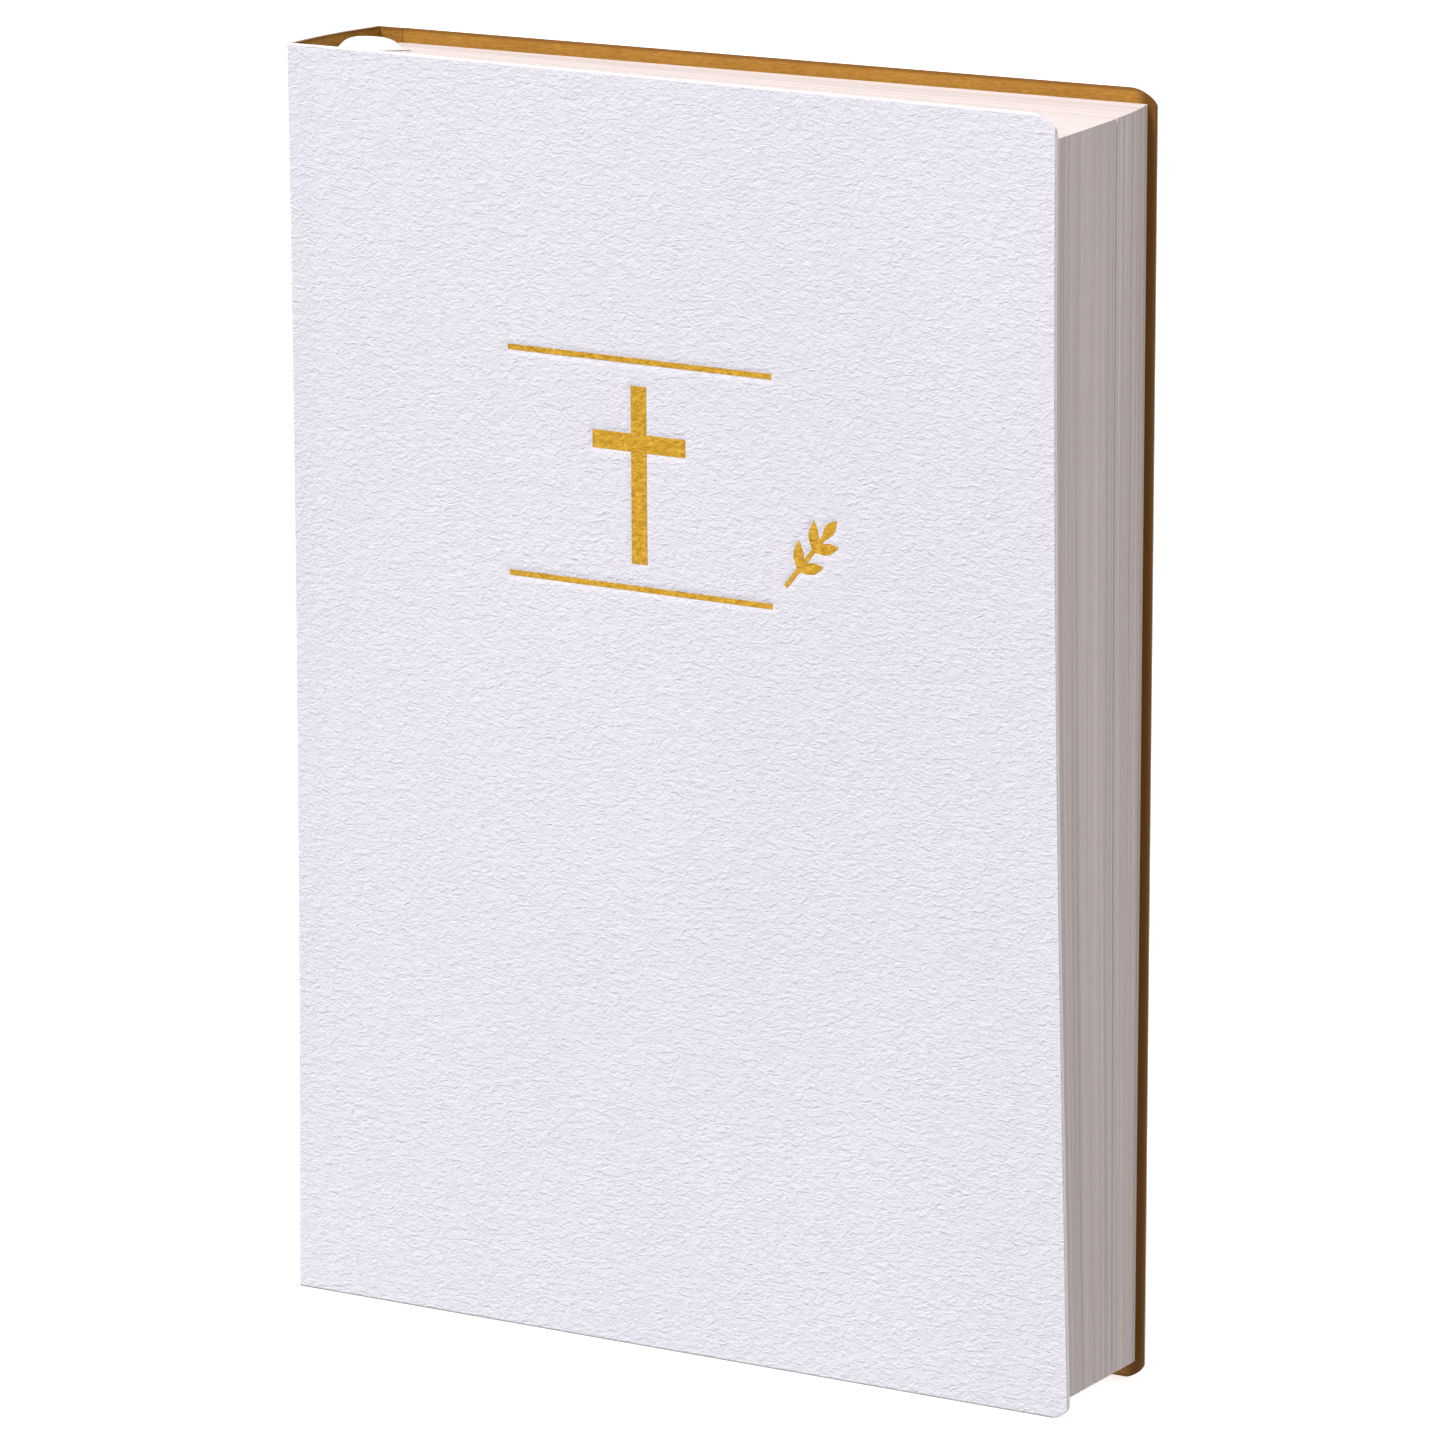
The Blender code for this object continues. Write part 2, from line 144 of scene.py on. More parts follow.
def cut(left, corner):
    """How far a fore-edge corner (its length, its height) cuts in, at a distance from the fore-edge."""
    share = np.clip(1 - left / corner[0], 0, 1)
    return corner[1] * (1 - (1 - share ** CORNER_POWER) ** (1 / CORNER_POWER))


def round_over(distance, radius=EDGE_ROUND):
    """How far a face falls away near its edge."""
    near = np.clip(radius - distance, 0, radius)
    return radius - np.sqrt(np.maximum(radius ** 2 - near ** 2, 0))


def smooth(value):
    value = np.clip(value, 0, 1)
    return value * value * (3 - 2 * value)


def lines(start, end, step, fine=None, fine_step=None):
    """Positions from start to end, closer beside both ends and between the two limits of fine."""
    stops = [start, end] if fine is None else [start, fine[0], fine[1], end]
    marks = set()
    for index, (low, high) in enumerate(zip(stops, stops[1:])):
        size = fine_step if fine is not None and index == 1 else step
        count = max(1, round((high - low) / size))
        marks.update(np.linspace(low, high, count + 1).round(7).tolist())
    for offset in (0.04 * MM, 0.12 * MM, 0.24 * MM):
        marks.update((round(start + offset, 7), round(end - offset, 7)))
    return np.array(sorted(marks))


def waves(points, scale, seed):
    """Smooth noise, about -1 to 1, at each of the points, with features about scale wide."""
    flat = points.reshape(-1, 3) / scale + seed * 17.3
    return np.array([noise.noise(Vector(p)) for p in flat]).reshape(points.shape[:-1])


# ---------------------------------------------------------------- meshes

def boundary(index):
    """The indices round the edge of a grid of indices, as one loop."""
    return np.concatenate([index[:-1, 0], index[-1, :-1], index[:0:-1, -1], index[0, :0:-1]])


def finish_mesh(name, placed, book, faces, slots, materials, flat_slots=()):
    mesh = bpy.data.meshes.new(name)
    mesh.from_pydata(placed.tolist(), [], [tuple(int(i) for i in face) for face in faces])
    for material in materials:
        mesh.materials.append(material)
    slots = np.asarray(slots, np.int32)
    mesh.polygons.foreach_set("material_index", slots)
    mesh.polygons.foreach_set("use_smooth", ~np.isin(slots, list(flat_slots)))
    attribute = mesh.attributes.new("book", "FLOAT_VECTOR", "POINT")
    attribute.data.foreach_set("vector", book.astype(np.float32).ravel())
    mesh.update()
    shell = bmesh.new()
    shell.from_mesh(mesh)
    if shell.calc_volume(signed=True) < 0:
        bmesh.ops.reverse_faces(shell, faces=shell.faces)
    shell.to_mesh(mesh)
    shell.free()
    mesh.set_sharp_from_angle(angle=SHARP_ANGLE)
    thing = bpy.data.objects.new(name, mesh)
    bpy.context.scene.collection.objects.link(thing)
    return thing


def layered_body(name, layers, materials, page=False, rim_slot=0, flat_slots=()):
    """A closed body from grids of book coordinates, one behind the other.

    The first and last grids are its two faces. Of those between, only the edges are used.
    """
    columns, rows = layers[0].shape[:2]
    index = np.arange(columns * rows).reshape(columns, rows)
    ring = boundary(index)
    count = columns * rows
    first, last = layers[0].reshape(-1, 3), layers[-1].reshape(-1, 3)
    middle = [layer.reshape(-1, 3)[ring] for layer in layers[1:-1]]
    book = np.concatenate([first, last, *middle])
    quads = np.stack([index[:-1, :-1], index[1:, :-1], index[1:, 1:], index[:-1, 1:]], -1).reshape(-1, 4)
    faces = [quads, quads[:, ::-1] + count]
    rings = [ring]
    rings += [2 * count + step * len(ring) + np.arange(len(ring)) for step in range(len(middle))]
    rings.append(ring + count)
    for near, far in zip(rings, rings[1:]):
        faces.append(np.stack([np.roll(near, -1), near, far, np.roll(far, -1)], -1))
    slots = np.concatenate([
        np.zeros(2 * len(quads), int),
        np.full(sum(len(part) for part in faces[2:]), rim_slot)])
    return finish_mesh(
        name, place(book, page), book, np.concatenate(faces), slots, materials, flat_slots)


def grid(xs, ts, low, high):
    """x and z of a grid whose rows run from low(x) to high(x)."""
    x = np.repeat(xs[:, None], len(ts), 1)
    z = low(x) + (high(x) - low(x)) * ts[None, :]
    return x, z


def stack(x, y, z):
    return np.stack(np.broadcast_arrays(x, y, z), -1).astype(float)


# ---------------------------------------------------------------- materials

def node(tree, kind, **settings):
    made = tree.nodes.new(kind)
    for key, value in settings.items():
        setattr(made, key, value)
    return made


def new_material(name, roughness, **sockets):
    """A material with its tree, its Principled shader and the book coordinates."""
    material = bpy.data.materials.new(name)
    material.use_nodes = True
    tree = material.node_tree
    shader = tree.nodes["Principled BSDF"]
    shader.inputs["Roughness"].default_value = roughness
    for key, value in sockets.items():
        shader.inputs[key.replace("_", " ")].default_value = value
    book = node(tree, "ShaderNodeAttribute", attribute_name="book").outputs["Vector"]
    return material, tree, shader, book


def noise_of(tree, book, scale, detail=2.0, rough=0.5, distortion=0.0):
    """Noise in book coordinates. scale is how many features fit in a metre along x, y and z."""
    mapping = node(tree, "ShaderNodeMapping", vector_type="POINT")
    mapping.inputs["Scale"].default_value = scale
    tree.links.new(book, mapping.inputs["Vector"])
    texture = node(tree, "ShaderNodeTexNoise")
    texture.inputs["Scale"].default_value = 1.0
    texture.inputs["Detail"].default_value = detail
    texture.inputs["Roughness"].default_value = rough
    texture.inputs["Distortion"].default_value = distortion
    tree.links.new(mapping.outputs["Vector"], texture.inputs["Vector"])
    return texture.outputs["Fac"]


def ramp(tree, value, stops):
    """value through a colour ramp of (place, colour) stops."""
    made = node(tree, "ShaderNodeValToRGB")
    elements = made.color_ramp.elements
    while len(elements) < len(stops):
        elements.new(0.5)
    for element, (at, colour) in zip(elements, stops):
        element.position = at
        element.color = (*colour, 1.0)
    tree.links.new(value, made.inputs["Fac"])
    return made.outputs["Color"]


def mix(tree, a, b, factor, blend="MIX"):
    """Two colours mixed. factor is a number or another node's output."""
    made = node(tree, "ShaderNodeMix", data_type="RGBA", blend_type=blend)
    for socket, value in ((made.inputs["Factor"], factor), (made.inputs[6], a), (made.inputs[7], b)):
        if isinstance(value, bpy.types.NodeSocket):
            tree.links.new(value, socket)
        else:
            socket.default_value = value
    return made.outputs[2]


def math_node(tree, operation, a, b):
    made = node(tree, "ShaderNodeMath", operation=operation)
    for socket, value in zip(made.inputs, (a, b)):
        if isinstance(value, bpy.types.NodeSocket):
            tree.links.new(value, socket)
        else:
            socket.default_value = value
    return made.outputs["Value"]


def bump(tree, shader, height, distance, strength=1.0):
    made = node(tree, "ShaderNodeBump")
    made.inputs["Distance"].default_value = distance
    made.inputs["Strength"].default_value = strength
    tree.links.new(height, made.inputs["Height"])
    tree.links.new(made.outputs["Normal"], shader.inputs["Normal"])


def near_edge(tree, book, full, none):
    """1 within full of the cover's head, foot or fore-edge, falling to 0 at none."""
    split = node(tree, "ShaderNodeSeparateXYZ")
    tree.links.new(book, split.inputs["Vector"])
    x, z = split.outputs["X"], split.outputs["Z"]
    nearest = math_node(tree, "MINIMUM", z, math_node(tree, "SUBTRACT", HEIGHT, z))
    nearest = math_node(tree, "MINIMUM", nearest, math_node(tree, "SUBTRACT", REACH, x))
    made = node(tree, "ShaderNodeMapRange", interpolation_type="SMOOTHSTEP")
    tree.links.new(nearest, made.inputs["Value"])
    for socket, value in zip(made.inputs[1:5], (full, none, 1.0, 0.0)):
        socket.default_value = value
    return made.outputs["Result"]


def leatherette_material():
    """White leatherette with a fine wrinkled grain that runs across the book, the grain flattened near the
    edges and the colour lightened there as a painted highlight.
    """
    material, tree, shader, book = new_material("leatherette", 0.5, Specular_IOR_Level=0.45)
    coarse = noise_of(tree, book, (740, 850, 1300), 3.0, 0.55, 0.9)
    fine = noise_of(tree, book, (1500, 1700, 2300), 2.0, 0.6, 0.5)
    height = math_node(tree, "ADD", math_node(tree, "MULTIPLY", coarse, 1.0),
                       math_node(tree, "MULTIPLY", fine, 0.35))
    edge = near_edge(tree, book, 0.02 * MM, 0.34 * MM)
    flatter = math_node(tree, "SUBTRACT", 1.0, edge)
    bump(tree, shader, math_node(tree, "MULTIPLY", height, flatter), 0.00034)
    tone = ramp(tree, coarse, ((0.30, (0.825, 0.798, 0.875)), (0.62, (0.885, 0.858, 0.930))))
    shade = ramp(tree, noise_of(tree, book, (14, 14, 10), 3.0),
                 ((0.3, (0.965, 0.96, 0.97)), (0.7, (1.0, 1.0, 1.0))))
    # Painted highlight: within 0.34 mm of the head, foot and fore-edge the colour is lightened to near
    # white, standing in for light caught by the rounded edge.
    painted_edge_highlight = mix(tree, mix(tree, tone, shade, 1.0, "MULTIPLY"), (0.97, 0.94, 0.96, 1.0), edge)
    tree.links.new(painted_edge_highlight, shader.inputs["Base Color"])
    rough = ramp(tree, fine, ((0.3, (0.56,) * 3), (0.7, (0.40,) * 3)))
    tree.links.new(rough, shader.inputs["Roughness"])
    return material


def card_material():
    """Gold-brown card with short fibres and specks, darkened towards the fore-edge as painted shade."""
    material, tree, shader, book = new_material("card", 0.8, Specular_IOR_Level=0.25)
    fibres = noise_of(tree, book, (700, 900, 2600), 4.0, 0.65, 0.6)
    cloud = noise_of(tree, book, (90, 200, 120), 3.0, 0.6)
    specks = noise_of(tree, book, (2600, 2600, 2600), 2.0, 0.7)
    base = ramp(tree, fibres, ((0.32, (0.395, 0.180, 0.022)), (0.68, (0.520, 0.262, 0.046))))
    tint = ramp(tree, cloud, ((0.30, (0.90, 0.87, 0.82)), (0.70, (1.06, 1.07, 1.12))))
    dots = ramp(tree, specks, ((0.28, (0.80, 0.76, 0.70)), (0.42, (1.0, 1.0, 1.0))))
    colour = mix(tree, mix(tree, base, tint, 1.0, "MULTIPLY"), dots, 1.0, "MULTIPLY")
    split = node(tree, "ShaderNodeSeparateXYZ")
    tree.links.new(book, split.inputs["Vector"])
    # Painted shade: the card turns dark brown over the last 4 mm before the fore-edge, standing in for the
    # page block's shadow on the back cover's margin.
    painted_shade = node(tree, "ShaderNodeMapRange", interpolation_type="SMOOTHSTEP")
    tree.links.new(split.outputs["X"], painted_shade.inputs["Value"])
    for socket, value in zip(painted_shade.inputs[1:5], (REACH - 4 * MM, REACH - 1.6 * MM, 0.0, 1.0)):
        socket.default_value = value
    colour = mix(tree, colour, (0.200, 0.078, 0.010, 1.0), painted_shade.outputs["Result"])
    # A darker brown within 0.8 mm of the head, foot and fore-edge; at the fore-edge it paints the outer rim
    # a little lighter than the painted shade beside it.
    colour = mix(tree, colour, (0.245, 0.102, 0.015, 1.0), near_edge(tree, book, 0.1 * MM, 0.8 * MM))
    tree.links.new(colour, shader.inputs["Base Color"])
    bump(tree, shader, fibres, 0.00016)
    return material


def edge_material():
    """The cut edges of the leaves: fine lines that follow each leaf."""
    material, tree, shader, book = new_material("page_edges", 0.85, Specular_IOR_Level=0.2)
    leaves = noise_of(tree, book, (6, 4300, 6), 4.0, 0.75)
    sections = noise_of(tree, book, (3, 900, 3), 3.0, 0.6)
    grit = noise_of(tree, book, (1500, 1800, 1500), 3.0, 0.7)
    line = ramp(tree, leaves, ((0.34, (0.690, 0.590, 0.572)), (0.60, (1.000, 0.875, 0.840))))
    group = ramp(tree, sections, ((0.38, (0.900, 0.895, 0.905)), (0.58, (1.0, 1.0, 1.0))))
    head = node(tree, "ShaderNodeMapRange", interpolation_type="SMOOTHSTEP")
    split = node(tree, "ShaderNodeSeparateXYZ")
    tree.links.new(book, split.inputs["Vector"])
    tree.links.new(split.outputs["Z"], head.inputs["Value"])
    for socket, value in zip(head.inputs[1:5], (BLOCK_HEAD - 0.3 * MM, BLOCK_HEAD - 0.05 * MM, 0.0, 0.72)):
        socket.default_value = value
    line = mix(tree, line, (0.835, 0.725, 0.700, 1.0), head.outputs["Result"])
    speck = ramp(tree, grit, ((0.30, (0.965, 0.96, 0.955)), (0.60, (1.0, 1.0, 1.0))))
    colour = mix(tree, mix(tree, line, group, 1.0, "MULTIPLY"), speck, 1.0, "MULTIPLY")
    tree.links.new(colour, shader.inputs["Base Color"])
    height = math_node(tree, "ADD", leaves, math_node(tree, "MULTIPLY", grit, 0.4))
    bump(tree, shader, height, 0.00012)
    return material


def paper_material(name, low, high):
    """Paper with a faint cloud and tooth."""
    material, tree, shader, book = new_material(name, 0.85, Specular_IOR_Level=0.25)
    cloud = noise_of(tree, book, (160, 160, 160), 4.0, 0.6)
    tooth = noise_of(tree, book, (3200, 3200, 3200), 2.0, 0.6)
    tree.links.new(ramp(tree, cloud, ((0.3, low), (0.7, high))), shader.inputs["Base Color"])
    bump(tree, shader, tooth, 0.00005)
    return material


def woven_material(name, low, high, pitch, depth, roughness, **sockets):
    """A plain weave of threads along the height and across it."""
    material, tree, shader, book = new_material(name, roughness, **sockets)
    bands = []
    for axis, scale in (("X", 1 / pitch[0]), ("Z", 1 / pitch[1])):
        split = node(tree, "ShaderNodeSeparateXYZ")
        tree.links.new(book, split.inputs["Vector"])
        along = split.outputs[axis]
        if axis == "X":
            along = math_node(tree, "ADD", along, split.outputs["Y"])
        phase = math_node(tree, "MULTIPLY", along, 2 * math.pi * scale)
        bands.append(math_node(tree, "SINE", phase, 0.0))
    weave = math_node(tree, "ADD", math_node(tree, "MULTIPLY", bands[0], 0.25), 0.5)
    weave = math_node(tree, "ADD", weave, math_node(tree, "MULTIPLY", bands[1], 0.25))
    tree.links.new(ramp(tree, weave, ((0.1, low), (0.8, high))), shader.inputs["Base Color"])
    bump(tree, shader, weave, depth)
    return material


def foil_material():
    """Gold foil, slightly mottled where it was pressed into the grain."""
    material, tree, shader, book = new_material("foil", 0.34, Metallic=1.0)
    mottle = noise_of(tree, book, (900, 900, 1300), 3.0, 0.6, 0.6)
    colour = ramp(tree, mottle, ((0.3, (0.350, 0.180, 0.012)), (0.7, (0.560, 0.325, 0.040))))
    tree.links.new(colour, shader.inputs["Base Color"])
    rough = ramp(tree, mottle, ((0.3, (0.42,) * 3), (0.7, (0.28,) * 3)))
    tree.links.new(rough, shader.inputs["Roughness"])
    bump(tree, shader, mottle, 0.00025)
    return material


def floor_material():
    material = bpy.data.materials.new("floor")
    material.use_nodes = True
    tree = material.node_tree
    shader = tree.nodes["Principled BSDF"]
    shader.inputs["Roughness"].default_value = 0.9
    shader.inputs["Emission Color"].default_value = (1.0, 1.0, 1.0, 1.0)
    shader.inputs["Emission Strength"].default_value = 0.68
    cloud = node(tree, "ShaderNodeTexNoise")
    cloud.inputs["Scale"].default_value = 3.0
    tree.links.new(
        ramp(tree, cloud.outputs["Fac"], ((0.3, (0.90,) * 3), (0.7, (0.92,) * 3))),
        shader.inputs["Base Color"])
    return material


# ---------------------------------------------------------------- foil stamping

FOIL_LEFT, FOIL_RIGHT = 44.0 * MM, 95.0 * MM
FOIL_LOW, FOIL_HIGH = 126.5 * MM, 164.5 * MM
RULE_HEIGHT = 0.9 * MM
CROSS_BAR, CROSS_HEIGHT, CROSS_WIDTH = 3.0 * MM, 29.0 * MM, 18.0 * MM
CROSS_ARM_SHARE = 0.68
SPRIG_FOOT = (97.5 * MM, 130.5 * MM)
SPRIG_LENGTH = 15.0 * MM
SPRIG_LEAN = math.radians(40.0)
SPRIG_STEM = 0.8 * MM
LEAF_LENGTH, LEAF_WIDTH = 5.0 * MM, 1.9 * MM
LEAF_PLACES = (0.25, 0.55)
LEAF_SPREAD = math.radians(38.0)


def rule_outline(low):
    return [(FOIL_LEFT, low), (FOIL_RIGHT, low), (FOIL_RIGHT, low + RULE_HEIGHT),
            (FOIL_LEFT, low + RULE_HEIGHT)]


def cross_outline():
    middle = (FOIL_LEFT + FOIL_RIGHT) / 2
    low = (FOIL_LOW + FOIL_HIGH - CROSS_HEIGHT) / 2
    arm = low + CROSS_HEIGHT * CROSS_ARM_SHARE
    bar = CROSS_BAR / 2
    right = [(bar, low), (bar, arm - bar), (CROSS_WIDTH / 2, arm - bar),
             (CROSS_WIDTH / 2, arm + bar), (bar, arm + bar), (bar, low + CROSS_HEIGHT)]
    return [(middle + x, z) for x, z in right + [(-x, z) for x, z in reversed(right)]]


def leaf_outline(root, steps=14):
    """(along, across) of a pointed leaf that grows from the stem at root."""
    lean = (math.cos(LEAF_SPREAD), math.sin(LEAF_SPREAD))
    edges = []
    for sign in (-1, 1):
        edges.append([])
        for step in range(steps + 1):
            along = step / steps * LEAF_LENGTH
            half = sign * LEAF_WIDTH / 2 * math.sin(math.pi * step / steps)
            edges[-1].append((root + along * lean[0] + half * lean[1], along * lean[1] - half * lean[0]))
    line = edges[0] + edges[1][-2::-1]
    return [(along, across) for along, across in line if across > SPRIG_STEM / 2]


def sprig_outline():
    stem = SPRIG_STEM / 2
    right = [(0.0, stem)]
    for share in LEAF_PLACES:
        right += [(share * SPRIG_LENGTH, stem), *leaf_outline(share * SPRIG_LENGTH)]
    right.append((0.72 * SPRIG_LENGTH, stem))
    for step in range(1, 12):
        half = LEAF_WIDTH / 2 * math.sin(math.pi * step / 12)
        if half > stem:
            right.append(((0.72 + 0.30 * step / 12) * SPRIG_LENGTH, half))
    outline = right + [(SPRIG_LENGTH * 1.02, 0.0)] + [(a, -b) for a, b in reversed(right)]
    return [(SPRIG_FOOT[0] + a * math.sin(SPRIG_LEAN) + b * math.cos(SPRIG_LEAN),
             SPRIG_FOOT[1] + a * math.cos(SPRIG_LEAN) - b * math.sin(SPRIG_LEAN)) for a, b in outline]


FOIL_OUTLINES = {
    "foil_rule_upper": rule_outline(FOIL_HIGH - RULE_HEIGHT),
    "foil_rule_lower": rule_outline(FOIL_LOW),
    "foil_cross": cross_outline(),
    "foil_sprig": sprig_outline(),
}


def distance_to(outline, x, z):
    """Signed distance from points to an outline, minus inside."""
    corners = np.array(outline)
    after = np.roll(corners, -1, 0)
    nearest = np.full(x.shape, 1.0)
    inside = np.zeros(x.shape, bool)
    for (ax, az), (bx, bz) in zip(corners, after):
        dx, dz = bx - ax, bz - az
        along = np.clip(((x - ax) * dx + (z - az) * dz) / max(dx * dx + dz * dz, 1e-18), 0, 1)
        nearest = np.minimum(nearest, np.hypot(x - ax - along * dx, z - az - along * dz))
        if az != bz:
            crosses = ((az > z) != (bz > z)) & (x < ax + (z - az) / (bz - az) * dx)
            inside ^= crosses
    return np.where(inside, -nearest, nearest)


def stamp_distance(x, z):
    """Distance from points to the nearest foil, minus inside."""
    return np.min([distance_to(outline, x, z) for outline in FOIL_OUTLINES.values()], axis=0)


def stamped(x, z):
    """Depth pressed into the skin at each point, with sloping walls round the foil."""
    return DEBOSS * smooth(1 - (stamp_distance(x, z) - 0.05 * MM) / (0.45 * MM))


def add_foil(material):
    """Foil plates on the floor of the stamped recess, their rims turned down."""
    for name, outline in FOIL_OUTLINES.items():
        flat = bmesh.new()
        face = flat.faces.new([flat.verts.new((x, 0.0, z)) for x, z in outline])
        flat.normal_update()
        rim = {corner for corner in face.verts}
        bmesh.ops.inset_region(flat, faces=[face], thickness=0.12 * MM)
        for corner in flat.verts:
            corner.co.y = -HALF_DEPTH + (FOIL_DEPTH + 0.05 * MM if corner in rim else FOIL_DEPTH)
        bmesh.ops.triangulate(flat, faces=flat.faces, ngon_method="EAR_CLIP")
        edges = [edge for edge in flat.edges if edge.is_boundary]
        extruded = bmesh.ops.extrude_edge_only(flat, edges=edges)["geom"]
        for corner in extruded:
            if isinstance(corner, bmesh.types.BMVert):
                corner.co.y += 0.04 * MM
        bmesh.ops.holes_fill(flat, edges=[edge for edge in flat.edges if edge.is_boundary], sides=0)
        bmesh.ops.recalc_face_normals(flat, faces=flat.faces)
        flat.verts.index_update()
        book = np.array([corner.co for corner in flat.verts])
        faces = [[corner.index for corner in face.verts] for face in flat.faces]
        flat.free()
        piece = finish_mesh(name + "_stamp", place(book), book, faces, np.zeros(len(faces)), [material])
        piece.data.polygons.foreach_set("use_smooth", np.zeros(len(faces), bool))
        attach(piece, "front_cover")
        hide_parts(name)


# ---------------------------------------------------------------- covers and spine

def cover_layers(side, x_start, outer, inner, step, inset=0.0, fine=None, rounded=EDGE_ROUND, pressed=False):
    """Two grids of a cover's layer: its outer and inner faces, with eased edges."""
    x_end = REACH - inset
    fine_x, fine_z = fine if fine else (None, None)
    xs = lines(x_start, x_end, step, fine_x, 0.5 * MM)
    corner = x_end - HEAD_CORNER[0] * np.linspace(0, 1, 15) ** 1.5
    xs = np.unique(np.concatenate([xs, corner]).round(7))
    xs = xs[np.append(np.diff(xs) > 0.012 * MM, True)]
    zs = lines(inset, HEIGHT - inset, step, fine_z, 0.5 * MM)
    ts = (zs - inset) / (HEIGHT - 2 * inset)
    low = lambda x: inset + cut(x_end - x, FOOT_CORNER)
    high = lambda x: HEIGHT - inset - cut(x_end - x, HEAD_CORNER)
    x, z = grid(xs, ts, low, high)
    distance = np.minimum(np.minimum(z - low(x), high(x) - z), x_end - x)
    fall = round_over(distance, rounded)
    if pressed:
        fall = fall + stamped(x, z)
    return [stack(x, side * (outer - fall), z), stack(x, side * inner, z)]


def add_covers(leatherette, card):
    fine = ((FOIL_LEFT - 2 * MM, SPRIG_FOOT[0] + 15 * MM), (FOIL_LOW - 2 * MM, FOIL_HIGH + 2 * MM))
    for side, label in ((-1, "front"), (1, "back")):
        layers = cover_layers(
            side, HINGE_X + CREASE_HALF, HALF_DEPTH, HALF_DEPTH - SKIN, 2.0 * MM,
            inset=0.0 if side < 0 else 0.08 * MM, fine=fine if side < 0 else None, pressed=side < 0)
        inside = np.minimum(layers[0][..., 2], HEIGHT - layers[0][..., 2])
        inside = np.minimum(inside, np.minimum(layers[0][..., 0] - HINGE_X, REACH - layers[0][..., 0]))
        if side < 0:
            inside = np.minimum(inside, stamp_distance(layers[0][..., 0], layers[0][..., 2]))
        layers[0][..., 1] += 0.06 * MM * waves(layers[0], 16 * MM, 1 + side) * smooth(inside / (8 * MM))
        skin = layered_body(label + "_cover_skin", layers, [leatherette])
        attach(skin, label + "_cover")
        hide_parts(label + "_cover_leatherette")
        inset = FRONT_BOARD_INSET if side < 0 else BACK_BOARD_INSET
        layers = cover_layers(
            side, HINGE_X + HINGE_GAP, CARD_OUTER_Y, CARD_INNER_Y, 3.0 * MM, inset, rounded=0.08 * MM)
        edge = np.minimum(
            np.minimum(layers[1][..., 2], HEIGHT - layers[1][..., 2]), REACH - layers[1][..., 0])
        layers[1][..., 1] += side * round_over(edge, 0.25 * MM)
        board = layered_body(label + "_cover_board", layers, [card])
        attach(board, label + "_cover")
        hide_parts(label + "_cover_card")
        add_crease(side, label, leatherette)


def add_crease(side, label, leatherette):
    """The skin across the crease, between the spine and the cover, in two strips."""
    z = lines(0.0, HEIGHT, 3.0 * MM)
    for part, (body_a, body_b, start) in {
            "near": ("spine", label + "_flyleaf", HINGE_X - CREASE_HALF),
            "far": (label + "_flyleaf", label + "_cover", HINGE_X)}.items():
        xs = np.linspace(start, start + CREASE_HALF, 9)
        x, z_grid = np.meshgrid(xs, z, indexing="ij")
        fall = round_over(np.minimum(z_grid, HEIGHT - z_grid))
        layers = [stack(x, side * (HALF_DEPTH - fall), z_grid), stack(x, side * (HALF_DEPTH - SKIN), z_grid)]
        piece = layered_body(f"{label}_crease_{part}", layers, [leatherette])
        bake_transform(piece)


def wrap_profile(inset):
    """(x, y) from crease to crease round the spine, inset from the skin's outer face."""
    end_x = HINGE_X - CREASE_HALF
    radius = SPINE_CORNER - inset
    face = HALF_DEPTH - inset
    front = [(x, -face) for x in np.linspace(end_x, SPINE_CORNER, 6)[:-1]]
    for step in range(9):
        angle = math.pi / 2 * step / 8
        front.append((inset + radius * (1 - math.sin(angle)), -face + radius * (1 - math.cos(angle))))
    across = []
    for y in np.linspace(-SPINE_HALF_WIDTH, SPINE_HALF_WIDTH, 25):
        bulge = SPINE_BULGE * (1 - (y / SPINE_HALF_WIDTH) ** 2)
        across.append((inset - bulge, y))
    return np.array(front + across + [(x, -y) for x, y in reversed(front)])


def profile_layers(near, far, z, rounded):
    """Two grids from two lines of (x, y), drawn along z, with eased ends."""
    rows = round_over(np.minimum(z - z[0], z[-1] - z), rounded)
    grids = []
    for line, other in ((near, far), (far, near)):
        direction = other - line
        direction /= np.linalg.norm(direction, axis=1)[:, None]
        xy = line[:, None, :] + direction[:, None, :] * rows[None, :, None]
        grids.append(stack(xy[..., 0], xy[..., 1], z[None, :]))
    return grids


def add_spine(leatherette, card):
    z = lines(0.0, HEIGHT, 2.0 * MM)
    layers = profile_layers(wrap_profile(0.0), wrap_profile(SKIN), z, 0.16 * MM)
    skin = layered_body("spine_skin", layers, [leatherette])
    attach(skin, "spine")
    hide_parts("spine_leatherette")
    inner = SKIN + GLUE
    half = CARD_INNER_Y - 0.07 * MM
    ys = np.linspace(-half, half, 25)
    bulge = SPINE_BULGE * np.clip(1 - (ys / SPINE_HALF_WIDTH) ** 2, 0, None)
    near = np.stack([inner - bulge, ys], -1)
    far = near + [CARD, 0.0]
    z = lines(0.1 * MM, HEIGHT - 0.1 * MM, 3.0 * MM)
    board = layered_body("spine_board", profile_layers(near, far, z, 0.08 * MM), [card])
    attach(board, "spine")
    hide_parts("spine_card")
    for side, name in ((-1, "front_hinge_strip"), (1, "back_hinge_strip")):
        xs = np.linspace(inner + 0.05 * MM, HINGE_X - HINGE_GAP, 6)
        near = np.stack([xs, np.full(6, side * CARD_OUTER_Y)], -1)
        far = np.stack([xs, np.full(6, side * CARD_INNER_Y)], -1)
        strip = layered_body(name + "_board", profile_layers(near, far, z, 0.08 * MM), [card])
        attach(strip, "spine")
        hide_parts(name)


